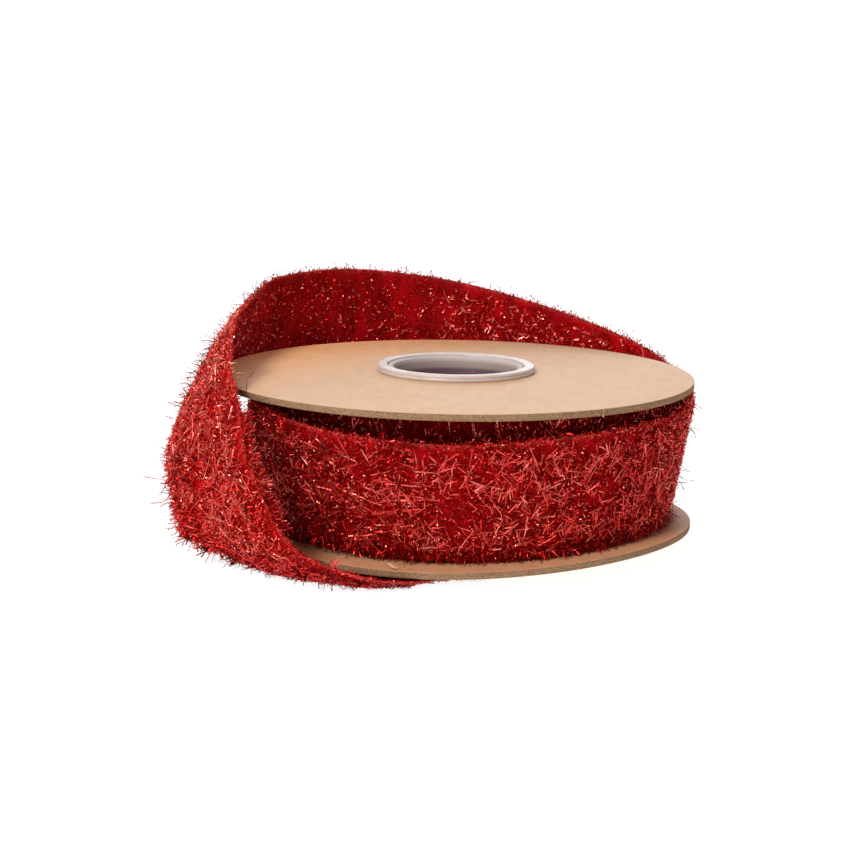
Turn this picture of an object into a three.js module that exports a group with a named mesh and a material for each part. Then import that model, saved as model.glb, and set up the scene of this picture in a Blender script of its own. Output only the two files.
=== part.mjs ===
// Roll of tinsel ribbon on a card spool, with its last turn slipped down and its
// loose end looped round behind the spool and tucked under the lower flange.
// Millimetres, +Z up. Bearings are degrees seen from above, anticlockwise from +X,
// about the spool's axis; the loose loop's fold lies at the front left.

import * as THREE from "three";

// Driving dimensions
const flangeRadius = 63.5;
const cardThickness = 1.7;
const clearance = 0.3;

const lipRadius = 21.4;
const lipThickness = 1.3;
const lipRounding = 0.4;
const barrelHeight = 45.1;
const outerBarrelRadius = 19.3;
const outerBarrelBore = 18.3;
const innerBarrelRadius = 18.0;
const boreRadius = 16.9;
const innerBarrelRecess = 1.1;

const backingWidth = 30;
const fringeReach = 1.5;
const outerPile = 2.1;
const innerPile = 1.2;
const fringePile = 0.6;

const turnStart = -151;
const roundSegments = 90;

// The lower card starts above the bottom lip and the upper card under the top one.
const lowerCardBase = lipThickness + clearance;
const upperCardBase = barrelHeight - lipThickness - clearance - cardThickness;

const radians = THREE.MathUtils.degToRad;

function makeMaterial(colour, roughness, metalness) {
  return new THREE.MeshStandardMaterial({ color: colour, roughness, metalness });
}

const card = makeMaterial(0xdcb48f, 0.85, 0);
const plastic = makeMaterial(0xd9d0cd, 0.4, 0);
const tinsel = makeMaterial(0xa81218, 0.35, 0.6);

// A soft bump of height 1 at one bearing that dies away on both sides of it.
function bump(bearing, centre, sharpness) {
  return Math.cos(radians(bearing - centre) / 2) ** (2 * sharpness);
}

// The cards stay flat where the hub's lips clamp them and bend towards their rims.
function bendShare(radius) {
  const clampRadius = lipRadius + 1;
  return Math.max(0, (radius - clampRadius) / (flangeRadius - clampRadius)) ** 2;
}

// The lower card droops a little, curls up at the front right and is lifted at the
// front left by the ribbon tucked under it.
function lowerCardRise(radius, bearing) {
  const droop = -0.4;
  const curl = 2.7 * bump(bearing, -42, 5);
  const lift = 1.8 * bump(bearing, 215, 10);
  return bendShare(radius) * (droop + curl + lift);
}

// The upper card is dished: its rim hangs below its middle.
function upperCardRise(radius) {
  return -1.0 * bendShare(radius);
}

// Turns a closed profile of [radius, height] pairs round the spool's axis.
function turned(profile) {
  const points = profile.map(([radius, height]) => new THREE.Vector2(radius, height));
  points.push(points[0].clone());
  const geometry = new THREE.LatheGeometry(points, roundSegments);
  geometry.rotateX(Math.PI / 2);
  return geometry;
}

// Lifts every point of a geometry by a function of its radius and bearing.
function bent(geometry, rise) {
  const position = geometry.attributes.position;
  for (let i = 0; i < position.count; i += 1) {
    const x = position.getX(i);
    const y = position.getY(i);
    const bearing = THREE.MathUtils.radToDeg(Math.atan2(y, x));
    position.setZ(i, position.getZ(i) + rise(Math.hypot(x, y), bearing, position.getZ(i)));
  }
  return geometry;
}

// Flanges: two chipboard discs, each with a round hole that the hub passes through.
function makeFlange(base, rise) {
  const holeRadius = outerBarrelRadius + clearance;
  const rings = [holeRadius, lipRadius + 1, 30, 38, 46, 53, 59, flangeRadius];
  const underside = rings.map((radius) => [radius, base]);
  const upperFace = rings.map((radius) => [radius, base + cardThickness]).reverse();
  return bent(turned([...underside, ...upperFace]), rise);
}

// Hub: two plastic barrels, one sliding inside the other, each with a lip that
// holds its card.
function makeUpperHub() {
  const lipBase = barrelHeight - lipThickness;
  return turned([
    [outerBarrelBore, lowerCardBase],
    [outerBarrelRadius, lowerCardBase],
    [outerBarrelRadius, lipBase],
    [lipRadius, lipBase],
    [lipRadius, barrelHeight - lipRounding],
    [lipRadius - lipRounding, barrelHeight],
    [outerBarrelBore + lipRounding, barrelHeight],
    [outerBarrelBore, barrelHeight - lipRounding],
  ]);
}

function makeLowerHub() {
  return turned([
    [boreRadius, 0],
    [lipRadius - lipRounding, 0],
    [lipRadius, lipRounding],
    [lipRadius, lipThickness],
    [innerBarrelRadius, lipThickness],
    [innerBarrelRadius, barrelHeight - innerBarrelRecess],
    [boreRadius, barrelHeight - innerBarrelRecess],
  ]);
}

// Wound ribbon: an annulus whose outside is the spiral of the outermost tight turn.
// It widens upwards a little and its underside follows the bent lower card.
const woundBase = lowerCardBase + cardThickness + clearance;
const woundTop = 40.2;

function spiralGrowth(bearing) {
  const growthPerTurn = 2.4;
  const share = THREE.MathUtils.euclideanModulo(bearing - turnStart, 360) / 360;
  return growthPerTurn * share;
}

function makeWoundRibbon() {
  const innerRadius = outerBarrelRadius + clearance + 0.1;
  const shoulder = 1.2;
  const footRadius = 52.6;
  const topRadius = 54;
  const rings = [innerRadius, 30, 40, 48];
  const geometry = turned([
    ...rings.map((radius) => [radius, woundBase]),
    [footRadius - shoulder, woundBase],
    [footRadius, woundBase + shoulder],
    [topRadius, woundTop - shoulder],
    [topRadius - shoulder, woundTop],
    [innerRadius, woundTop],
  ]);
  const position = geometry.attributes.position;
  for (let i = 0; i < position.count; i += 1) {
    const x = position.getX(i);
    const y = position.getY(i);
    const radius = Math.hypot(x, y);
    const bearing = THREE.MathUtils.radToDeg(Math.atan2(y, x));
    const outward = Math.max(0, (radius - innerRadius) / (topRadius - innerRadius));
    const grown = 1 + (outward * spiralGrowth(bearing)) / radius;
    position.setX(i, x * grown);
    position.setY(i, y * grown);
  }
  return bent(geometry, (radius, bearing, height) => {
    const risen = lowerCardRise(radius, bearing);
    return height < woundTop / 2 ? Math.max(risen, -clearance / 2) + clearance / 2 : 0;
  });
}

// Loose ribbon: sections across it, in the order in which it leaves the roll.
// bearing, reach and height place its middle line; lean is how far its top edge
// tips from upright, and toward is the bearing that it tips to; belly is how far
// the middle bulges to the outer face from the line between the two edges.
const slippedTurn = [
  { bearing: -149.5, reach: 57.3, height: 20.6, lean: 8, belly: 0 },
  { bearing: -120, reach: 58.0, height: 19.2, lean: 11, belly: 0 },
  { bearing: -90, reach: 58.0, height: 18.6, lean: 11, belly: 0 },
  { bearing: -60, reach: 58.1, height: 19.2, lean: 11, belly: 0 },
  { bearing: -30, reach: 58.3, height: 20.0, lean: 11, belly: 0 },
].map((section) => ({ ...section, toward: section.bearing }));

const looseLoop = [
  { bearing: -6, reach: 59.8, height: 21.2, lean: 8, toward: -6, belly: 0 },
  { bearing: 18, reach: 66.8, height: 22.8, lean: 2, toward: 18, belly: 0 },
  { bearing: 42, reach: 70.0, height: 28.3, lean: 0, toward: 0, belly: 0 },
  { bearing: 68, reach: 71.5, height: 35.0, lean: 0, toward: 0, belly: 0 },
  { bearing: 93, reach: 72.4, height: 43.0, lean: 4, toward: 270, belly: 0 },
  { bearing: 116, reach: 73.4, height: 47.6, lean: 7, toward: 295, belly: 0 },
  { bearing: 137, reach: 72.5, height: 47.6, lean: 13, toward: 318, belly: 0.5 },
  { bearing: 154, reach: 69.4, height: 45.5, lean: 21, toward: 335, belly: 1.0 },
  { bearing: 170, reach: 67.5, height: 43.6, lean: 25, toward: 348, belly: 1.2 },
  { bearing: 184, reach: 67.5, height: 41.7, lean: 26, toward: 352, belly: 1.2 },
  { bearing: 196, reach: 68.9, height: 41.0, lean: 30, toward: 342, belly: 1.0 },
  { bearing: 206, reach: 72.5, height: 35.9, lean: 36, toward: 330, belly: 0.6 },
  { bearing: 213.5, reach: 74.7, height: 28.5, lean: 44, toward: 325, belly: 0.5 },
  { bearing: 219.5, reach: 75.8, height: 21.2, lean: 49, toward: 318, belly: 0.8 },
  { bearing: 225, reach: 75.1, height: 13.9, lean: 54, toward: 303, belly: 1.4 },
  { bearing: 230.5, reach: 72.0, height: 7.3, lean: 59, toward: 288, belly: 2.2 },
  { bearing: 237.5, reach: 65.9, height: 1.8, lean: 68, toward: 277, belly: 2.8 },
  { bearing: 246.5, reach: 58.6, height: 0.8, lean: 82, toward: 273, belly: 2.0 },
  { bearing: 257, reach: 48.8, height: 0.9, lean: 89, toward: 288, belly: 0.4 },
  { bearing: 273, reach: 40.5, height: 0.8, lean: 90, toward: 298, belly: 0 },
];

// The direction across the ribbon, from its lower edge to its upper one.
function acrossRibbon({ lean, toward }) {
  const tip = Math.sin(radians(lean));
  const along = radians(toward);
  return new THREE.Vector3(tip * Math.cos(along), tip * Math.sin(along), Math.cos(radians(lean)));
}

// Smooth rails through the sections: the middle line and the two edges.
function makeRails(sections, width) {
  const middles = sections.map(({ bearing, reach, height }) => {
    const turn = radians(bearing);
    return new THREE.Vector3(reach * Math.cos(turn), reach * Math.sin(turn), height);
  });
  const rails = { lower: [], middle: middles, upper: [] };
  sections.forEach((section, i) => {
    const before = middles[Math.max(i - 1, 0)];
    const after = middles[Math.min(i + 1, middles.length - 1)];
    const forward = after.clone().sub(before).normalize();
    const across = acrossRibbon(section).projectOnPlane(forward).normalize();
    const outward = forward.clone().cross(across);
    const half = Math.sqrt((width / 2) ** 2 - section.belly ** 2);
    const chord = middles[i].clone().addScaledVector(outward, -section.belly);
    rails.upper.push(chord.clone().addScaledVector(across, half));
    rails.lower.push(chord.clone().addScaledVector(across, -half));
  });
  return Object.fromEntries(
    Object.entries(rails).map(([name, points]) => [
      name,
      new THREE.CatmullRomCurve3(points, false, "catmullrom", 0.5),
    ]),
  );
}

// A point of the ribbon's middle surface; side runs from -1 at the lower edge to 1
// at the upper one.
function surfacePoint(rails, share, side) {
  return rails.middle
    .getPoint(share)
    .multiplyScalar(1 - side * side)
    .addScaledVector(rails.upper.getPoint(share), (side * (side + 1)) / 2)
    .addScaledVector(rails.lower.getPoint(share), (side * (side - 1)) / 2);
}

// Keeps a point of the ribbon clear of the lower card: under it along the tucked
// tail, which rises again past the rim, and over it elsewhere. The pile is pressed
// flat on whatever lies below.
function clearOfCard(point, tucked) {
  const rimRoom = 3.5;
  const rimSlope = 3;
  const tuckedGap = 0.4;
  const radius = Math.hypot(point.x, point.y);
  const bearing = THREE.MathUtils.radToDeg(Math.atan2(point.y, point.x));
  const underside = lowerCardBase + lowerCardRise(Math.min(radius, flangeRadius), bearing);
  if (tucked) {
    const risen = rimSlope * Math.max(0, radius - flangeRadius - rimRoom);
    point.z = Math.min(point.z, underside - tuckedGap + risen);
  } else if (radius < flangeRadius + rimRoom) {
    point.z = Math.max(point.z, underside + cardThickness + clearance);
  }
  point.z = Math.max(point.z, 0);
  return point;
}

function makeLooseRibbon() {
  const sections = [...slippedTurn, ...looseLoop];
  const rails = makeRails(sections, backingWidth + 2 * fringeReach);
  const sides = [-1, -0.85, -0.65, -0.45, -0.2, 0, 0.2, 0.45, 0.65, 0.85, 1];
  const stepsPerSection = 4;
  const steps = (sections.length - 1) * stepsPerSection;
  const tuckedFrom = sections.findIndex((section) => section.bearing > 220);
  const ring = [];
  for (let step = 0; step <= steps; step += 1) {
    const share = step / steps;
    const tucked = step > tuckedFrom * stepsPerSection;
    const forward = rails.middle.getTangent(share);
    const outer = [];
    const inner = [];
    for (const side of sides) {
      const point = surfacePoint(rails, share, side);
      const across = surfacePoint(rails, share, Math.min(side + 0.2, 1));
      across.sub(surfacePoint(rails, share, Math.max(side - 0.2, -1)));
      const outward = forward.clone().cross(across).normalize();
      const edge = Math.abs(side) === 1;
      const outerReach = edge ? fringePile : outerPile;
      const innerReach = edge ? fringePile : innerPile;
      outer.push(clearOfCard(point.clone().addScaledVector(outward, outerReach), tucked));
      inner.push(clearOfCard(point.clone().addScaledVector(outward, -innerReach), tucked));
    }
    ring.push([...outer, ...inner.reverse()]);
  }
  return closedTube(ring);
}

// Joins rings of equal point counts into a tube and closes both of its ends.
function closedTube(rings) {
  const count = rings[0].length;
  const vertices = rings.flat().flatMap((point) => point.toArray());
  const faces = [];
  for (let i = 0; i < rings.length - 1; i += 1) {
    for (let j = 0; j < count; j += 1) {
      const next = (j + 1) % count;
      const [a, b] = [i * count + j, i * count + next];
      const [c, d] = [a + count, b + count];
      faces.push(a, d, b, a, c, d);
    }
  }
  const last = (rings.length - 1) * count;
  for (let j = 1; j < count / 2; j += 1) {
    const [near, far] = [j - 1, j];
    const [farBack, nearBack] = [count - 1 - j, count - j];
    faces.push(near, farBack, nearBack, near, far, farBack);
    faces.push(last + near, last + farBack, last + far);
    faces.push(last + near, last + nearBack, last + farBack);
  }
  const geometry = new THREE.BufferGeometry();
  geometry.setAttribute("position", new THREE.Float32BufferAttribute(vertices, 3));
  geometry.setIndex(faces);
  geometry.computeVertexNormals();
  return geometry;
}

function makeMesh(name, geometry, material) {
  const mesh = new THREE.Mesh(geometry, material);
  mesh.name = name;
  return mesh;
}

const ribbonRoll = new THREE.Group();
ribbonRoll.add(
  makeMesh("flange_lower", makeFlange(lowerCardBase, lowerCardRise), card),
  makeMesh("flange_upper", makeFlange(upperCardBase, upperCardRise), card),
  makeMesh("hub_lower", makeLowerHub(), plastic),
  makeMesh("hub_upper", makeUpperHub(), plastic),
  makeMesh("wound_ribbon", makeWoundRibbon(), tinsel),
  makeMesh("loose_ribbon", makeLooseRibbon(), tinsel),
);

// The origin lies under the middle of the whole object's box.
const box = new THREE.Box3().setFromObject(ribbonRoll);
const middle = box.getCenter(new THREE.Vector3());
ribbonRoll.position.set(-middle.x, -middle.y, -box.min.z);

export default ribbonRoll;
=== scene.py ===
from math import cos, radians, sin, tau

import bmesh
import bpy
import numpy as np
from mathutils import Matrix, Vector


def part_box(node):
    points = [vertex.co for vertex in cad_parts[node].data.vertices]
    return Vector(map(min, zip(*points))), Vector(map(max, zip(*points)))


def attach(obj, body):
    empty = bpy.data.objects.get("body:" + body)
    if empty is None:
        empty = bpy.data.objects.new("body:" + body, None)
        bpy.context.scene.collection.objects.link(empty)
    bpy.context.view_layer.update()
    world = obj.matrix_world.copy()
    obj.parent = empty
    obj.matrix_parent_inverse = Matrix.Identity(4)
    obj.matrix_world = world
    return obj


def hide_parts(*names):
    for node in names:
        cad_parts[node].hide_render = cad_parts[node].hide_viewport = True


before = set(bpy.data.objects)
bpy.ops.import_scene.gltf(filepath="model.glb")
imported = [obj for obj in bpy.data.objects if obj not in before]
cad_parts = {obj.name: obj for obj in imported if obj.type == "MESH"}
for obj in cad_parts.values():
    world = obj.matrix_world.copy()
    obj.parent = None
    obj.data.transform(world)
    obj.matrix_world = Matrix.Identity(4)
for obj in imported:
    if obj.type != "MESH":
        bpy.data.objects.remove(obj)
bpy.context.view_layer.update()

# Studio: a white floor under a bright horizon that fades to grey, a soft light at the
# front left and a broad one behind the roll. The camera stands a little above the upper
# card and is rolled by less than a degree, as the photograph was taken.
MM = 0.001
low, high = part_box("flange_upper")
AXIS = Vector(((low[0] + high[0]) / 2, (low[1] + high[1]) / 2, 0))
CAMERA_FROM_AXIS = Vector((-6.942, -477.613, 117.330))
CAMERA_PITCH = 0.1871
CAMERA_ROLL = 0.0150
SENSOR_WIDTH = 36
LENS = 75.52

camera_data = bpy.data.cameras.new("camera")
camera_data.sensor_width = SENSOR_WIDTH
camera_data.lens = LENS
camera_data.clip_start = 10 * MM
camera = bpy.data.objects.new("camera", camera_data)
ahead = Vector((0, cos(CAMERA_PITCH), -sin(CAMERA_PITCH)))
level_up = Vector((0, sin(CAMERA_PITCH), cos(CAMERA_PITCH)))
level_right = Vector((1, 0, 0))
camera_right = cos(CAMERA_ROLL) * level_right + sin(CAMERA_ROLL) * level_up
camera_up = cos(CAMERA_ROLL) * level_up - sin(CAMERA_ROLL) * level_right
stand = Matrix((camera_right, camera_up, -ahead)).transposed().to_4x4()
stand.translation = AXIS + CAMERA_FROM_AXIS * MM
camera.matrix_world = stand
bpy.context.scene.collection.objects.link(camera)
bpy.context.scene.camera = camera
bpy.context.scene.view_settings.view_transform = "Standard"
bpy.context.scene.view_settings.look = "None"

HORIZON_WHITE = 1.1
world = bpy.data.worlds.new("studio")
world.use_nodes = True
sky = world.node_tree
direction = sky.nodes.new("ShaderNodeTexCoord")
axes_of_sky = sky.nodes.new("ShaderNodeSeparateXYZ")
sky.links.new(direction.outputs["Generated"], axes_of_sky.inputs[0])

# The sockets of a node that mixes two colours, and its output.
MIX_SHARE, MIX_FIRST, MIX_SECOND, MIXED = 0, 6, 7, 2


def sky_band(low_edge, high_edge, above):
    """White from the horizon to one height, then a fade to a grey."""
    band = sky.nodes.new("ShaderNodeValToRGB")
    stops = (low_edge, HORIZON_WHITE), (high_edge, above)
    for point, (position, grey) in zip(band.color_ramp.elements, stops):
        point.position = position
        point.color = (grey, grey, grey, 1)
    sky.links.new(axes_of_sky.outputs["Z"], band.inputs["Fac"])
    return band.outputs["Color"]


# Behind the roll the white reaches higher up, and the grey above it is lighter.
back_share = sky.nodes.new("ShaderNodeMapRange")
back_share.inputs["From Min"].default_value = 0.1
back_share.inputs["From Max"].default_value = 0.7
sky.links.new(axes_of_sky.outputs["Y"], back_share.inputs["Value"])
whole_sky = sky.nodes.new("ShaderNodeMix")
whole_sky.data_type = "RGBA"
sky.links.new(back_share.outputs["Result"], whole_sky.inputs[MIX_SHARE])
sky.links.new(sky_band(0.07, 0.16, above=0.34), whole_sky.inputs[MIX_FIRST])
sky.links.new(sky_band(0.12, 0.45, above=0.55), whole_sky.inputs[MIX_SECOND])
sky.links.new(whole_sky.outputs[MIXED], sky.nodes["Background"].inputs["Color"])
bpy.context.scene.world = world


def soft_light(name, bearing, rise, distance, size, watts):
    """A round lamp, in metres, that faces the foot of the spool's axis."""
    data = bpy.data.lights.new(name, "AREA")
    data.shape = "DISK"
    data.size = size
    data.energy = watts
    light = bpy.data.objects.new(name, data)
    turn, lift = radians(bearing), radians(rise)
    away = Vector((cos(turn) * cos(lift), sin(turn) * cos(lift), sin(lift)))
    light.location = AXIS + away * distance
    light.rotation_euler = away.to_track_quat("Z", "Y").to_euler()
    bpy.context.scene.collection.objects.link(light)


soft_light("key", bearing=-124, rise=40, distance=1.1, size=0.34, watts=9)
soft_light("backlight", bearing=90, rise=24, distance=1.4, size=1.0, watts=5)

FLOOR_REACH = 8
floor_mesh = bmesh.new()
bmesh.ops.create_grid(floor_mesh, x_segments=1, y_segments=1, size=FLOOR_REACH)
floor_data = bpy.data.meshes.new("floor")
floor_mesh.to_mesh(floor_data)
floor_mesh.free()
floor = bpy.data.objects.new("floor", floor_data)
bpy.context.scene.collection.objects.link(floor)
white_sheet = bpy.data.materials.new("white_sheet")
white_sheet.use_nodes = True
sheet_finish = white_sheet.node_tree.nodes["Principled BSDF"]
sheet_finish.inputs["Base Color"].default_value = (0.25, 0.25, 0.25, 1)
sheet_finish.inputs["Roughness"].default_value = 0.9
sheet_finish.inputs["Emission Color"].default_value = (1, 1, 1, 1)
sheet_finish.inputs["Emission Strength"].default_value = 0.9
floor_data.materials.append(white_sheet)

# Lower hub half: an injection-moulded sleeve of pale, frosted plastic with a lip at
# its foot. It passes up through the lower card and the other sleeve slides over it.
# The dark ribbon shows through its wall, and the pale card where the cards grip it.
SPOOL_HEIGHT = 45.1
LOWER_LIP_RADIUS = 21.4
LOWER_LIP_DEPTH = 1.3
INNER_SLEEVE_BORE = 16.75
INNER_SLEEVE_OUTSIDE = 18.2
INNER_SLEEVE_TOP = 44.35
ROUND_STEPS = 180
SHARP_ANGLE = 40


def turned(outline):
    """A bmesh of a closed (radius, height) outline in mm, spun round the axis."""
    mesh = bmesh.new()
    ring = [mesh.verts.new((radius * MM, 0, height * MM)) for radius, height in outline]
    sides = [mesh.edges.new((ring[i - 1], ring[i])) for i in range(len(ring))]
    bmesh.ops.spin(
        mesh,
        geom=ring + sides,
        cent=(0, 0, 0),
        axis=(0, 0, 1),
        angle=tau,
        steps=ROUND_STEPS,
        use_merge=True,
    )
    bmesh.ops.recalc_face_normals(mesh, faces=mesh.faces)
    return mesh


def round_off(mesh, width):
    """Rounds every ring edge where the faces meet at a sharp angle."""
    sharp = [e for e in mesh.edges if e.calc_face_angle(0) > radians(SHARP_ANGLE)]
    bmesh.ops.bevel(
        mesh,
        geom=sharp,
        offset=width * MM,
        offset_type="OFFSET",
        affect="EDGES",
        segments=2,
        profile=0.5,
        material=-1,
    )


def finished(name, mesh, *materials):
    """Puts a bmesh at its place on the spool as a piece of the roll."""
    bmesh.ops.translate(mesh, vec=AXIS, verts=mesh.verts)
    data = bpy.data.meshes.new(name)
    mesh.to_mesh(data)
    mesh.free()
    data.shade_smooth()
    for material in materials:
        data.materials.append(material)
    piece = bpy.data.objects.new(name, data)
    bpy.context.scene.collection.objects.link(piece)
    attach(piece, "root")
    return piece


class Finish:
    """A material and short ways to add to it."""

    def __init__(self, name):
        self.material = bpy.data.materials.new(name)
        self.material.use_nodes = True
        self.tree = self.material.node_tree
        self.surface = self.tree.nodes["Principled BSDF"]

    def set(self, values):
        """Sets the surface's own sockets."""
        for name, value in values.items():
            self.surface.inputs[name].default_value = value

    def node(self, kind, **values):
        node = self.tree.nodes.new("ShaderNode" + kind)
        for name, value in values.items():
            setattr(node, name, value)
        return node

    def link(self, start, end):
        self.tree.links.new(start, end)

    def place(self, stretch=(1, 1, 1)):
        """Object coordinates centred on the spool's axis."""
        coordinates = self.node("TexCoord")
        mapping = self.node("Mapping")
        mapping.inputs["Location"].default_value = [-a * s for a, s in zip(AXIS, stretch)]
        mapping.inputs["Scale"].default_value = stretch
        self.link(coordinates.outputs["Object"], mapping.inputs["Vector"])
        return mapping.outputs["Vector"]

    def noise(self, where, scale, detail=4, roughness=0.6):
        """Cloudy variation; the scale is in clouds per metre."""
        noise = self.node("TexNoise")
        noise.inputs["Scale"].default_value = scale
        noise.inputs["Detail"].default_value = detail
        noise.inputs["Roughness"].default_value = roughness
        self.link(where, noise.inputs["Vector"])
        return noise.outputs["Fac"]

    def ramp(self, value, *stops):
        """A colour for each value, between stops of a position and a colour."""
        ramp = self.node("ValToRGB")
        points = ramp.color_ramp.elements
        for _ in range(len(stops) - 2):
            points.new(0.5)
        for point, (position, colour) in zip(points, stops):
            point.position = position
            point.color = (*colour, 1)
        self.link(value, ramp.inputs["Fac"])
        return ramp.outputs["Color"]

    def blend(self, kind, first, second):
        """Two colours, multiplied or added in full."""
        mix = self.node("Mix", data_type="RGBA", blend_type=kind)
        mix.inputs[MIX_SHARE].default_value = 1.0
        self.link(first, mix.inputs[MIX_FIRST])
        self.link(second, mix.inputs[MIX_SECOND])
        return mix.outputs[MIXED]

    def product(self, *colours):
        """Several colours, multiplied in turn."""
        result = colours[0]
        for colour in colours[1:]:
            result = self.blend("MULTIPLY", result, colour)
        return result

    def colour(self, value):
        """Gives the surface its colour."""
        self.link(value, self.surface.inputs["Base Color"])

    def bump(self, height, depth, strength=1.0, *others):
        """Bumps of a depth in mm on the surface's normal, and on others such as its coat's."""
        bump = self.node("Bump")
        bump.inputs["Strength"].default_value = strength
        bump.inputs["Distance"].default_value = depth * MM
        self.link(height, bump.inputs["Height"])
        for normal in ("Normal", *others):
            self.link(bump.outputs["Normal"], self.surface.inputs[normal])


BLACK = (0.0, 0.0, 0.0)
NO_CHANGE = (1.0, 1.0, 1.0)

frosted = Finish("frosted_plastic")
frosted.set({"Roughness": 0.34, "IOR": 1.49, "Subsurface Weight": 0.5})
frosted.set({"Subsurface Scale": 3 * MM})
cloud = frosted.noise(frosted.place(), 220, 3)
frosted.colour(frosted.ramp(cloud, (0.3, (0.58, 0.49, 0.455)), (0.7, (0.63, 0.55, 0.52))))
frosted.bump(frosted.noise(frosted.place(), 1500, 2), 0.01)

see_through = Finish("frosted_plastic_over_ribbon")
see_through.set({"Roughness": 0.6, "IOR": 1.49, "Specular IOR Level": 0.3})
wall = see_through.place()
wall_height = see_through.node("SeparateXYZ")
see_through.link(wall, wall_height.inputs[0])
upward = see_through.node("MapRange")
upward.inputs["From Max"].default_value = SPOOL_HEIGHT * MM
see_through.link(wall_height.outputs["Z"], upward.inputs["Value"])
# Up the wall show the lip and the lower card, the dark ribbon, and the upper card.
wall_tone = see_through.ramp(
    upward.outputs["Result"],
    (0.03, (0.60, 0.52, 0.48)),
    (0.05, (0.30, 0.22, 0.19)),
    (0.08, (0.12, 0.060, 0.075)),
    (0.905, (0.12, 0.060, 0.072)),
    (0.922, (0.30, 0.22, 0.195)),
    (0.950, (0.35, 0.265, 0.235)),
    (0.972, (0.58, 0.49, 0.455)),
)
glints = see_through.ramp(
    see_through.noise(wall, 900, 2), (0.62, BLACK), (0.72, (0.30, 0.01, 0.02))
)
past_the_ribbon = see_through.ramp(
    upward.outputs["Result"],
    (0.08, BLACK),
    (0.10, NO_CHANGE),
    (0.89, NO_CHANGE),
    (0.905, BLACK),
)
seen_glints = see_through.product(glints, past_the_ribbon)
see_through.colour(see_through.blend("ADD", wall_tone, seen_glints))

lower_hub = turned(
    (
        (INNER_SLEEVE_BORE, 0.35),
        (INNER_SLEEVE_BORE + 0.5, 0),
        (LOWER_LIP_RADIUS - 0.4, 0),
        (LOWER_LIP_RADIUS, 0.4),
        (LOWER_LIP_RADIUS, LOWER_LIP_DEPTH),
        (INNER_SLEEVE_OUTSIDE, LOWER_LIP_DEPTH),
        (INNER_SLEEVE_OUTSIDE, INNER_SLEEVE_TOP - 0.2),
        (INNER_SLEEVE_OUTSIDE - 0.2, INNER_SLEEVE_TOP),
        (INNER_SLEEVE_BORE + 0.25, INNER_SLEEVE_TOP - 0.05),
        (INNER_SLEEVE_BORE, INNER_SLEEVE_TOP - 0.35),
    )
)
for face in lower_hub.faces:
    middle = face.calc_center_median()
    in_bore = middle.xy.length < (INNER_SLEEVE_BORE + 0.2) * MM
    at_rim = middle.z > (INNER_SLEEVE_TOP - 0.45) * MM
    face.material_index = 1 if in_bore or at_rim else 0
hub_lower_piece = finished(
    "hub_lower_sleeve", lower_hub, frosted.material, see_through.material
)
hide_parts("hub_lower")

# Lower card: a die-cut disc of grey-brown chipboard with a kraft liner on both faces.
# The lip below holds it. Its rim curls up at the front right, and the ribbon tucked
# under it lifts it at the front left.
FLANGE_RADIUS = 63.5
CLAMP_RADIUS = 22.4
CARD_RINGS = (19.6, 20.4, CLAMP_RADIUS, *range(26, 59, 4), 61, 62.6, FLANGE_RADIUS)
CARD_THICKNESS = 1.7
CUT_EDGE_ROUNDING = 0.14
LOWER_CARD_BASE = 1.6
UPPER_CARD_BASE = 41.8


def bump_at(bearing, centre, sharpness):
    """A soft bump of height 1 at one bearing."""
    return np.cos(np.radians(bearing - centre) / 2) ** (2 * sharpness)


def bend_share(radius):
    """0 where the lips clamp a card, rising to 1 at its rim."""
    return np.maximum(0, (radius - CLAMP_RADIUS) / (FLANGE_RADIUS - CLAMP_RADIUS)) ** 2


def lower_card_rise(radius, bearing):
    """How far, in mm, the bent lower card stands above a flat one."""
    curl = 2.7 * bump_at(bearing, -42, 5)
    lift = 1.8 * bump_at(bearing, 215, 10)
    return bend_share(radius) * (curl + lift - 0.4)


def upper_card_rise(radius, bearing):
    """The same for the upper card, which is dished alike on all bearings."""
    return -0.4 - 0.6 * bend_share(radius)


liner = Finish("kraft_liner")
liner.set({"Roughness": 0.55, "IOR": 1.5, "Specular IOR Level": 0.25})
sheet_place = liner.place()
mottle = liner.ramp(
    liner.noise(liner.place((1, 0.4, 1)), 260, 5, 0.7),
    (0.30, (0.650, 0.378, 0.208)),
    (0.50, (0.695, 0.418, 0.240)),
    (0.72, (0.735, 0.453, 0.266)),
)
pulp = liner.ramp(
    liner.noise(liner.place((1, 0.3, 1)), 1200, 3, 0.7),
    (0.34, (0.96, 0.94, 0.92)),
    (0.62, NO_CHANGE),
)
# The lower card is painted darker and redder, as shade and red light bounced off the
# ribbon, and both cards are painted lighter and warmer towards the loop, as light
# bounced off it.
height_on_spool = liner.node("SeparateXYZ")
liner.link(sheet_place, height_on_spool.inputs[0])
painted_red_bounce = liner.ramp(
    height_on_spool.outputs["Z"], (0.010, (0.95, 0.79, 0.71)), (0.030, NO_CHANGE)
)
towards_loop = liner.node("VectorMath", operation="DOT_PRODUCT")
towards_loop.inputs[1].default_value = (-0.8, 0.6, 0)
liner.link(sheet_place, towards_loop.inputs[0])
painted_loop_light = liner.ramp(
    towards_loop.outputs["Value"], (0.014, NO_CHANGE), (0.060, (1.42, 1.16, 0.92))
)
liner.colour(liner.product(liner.product(mottle, pulp), liner.product(painted_red_bounce, painted_loop_light)))
liner.bump(liner.noise(sheet_place, 1400, 3), 0.02, 0.7)

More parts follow.
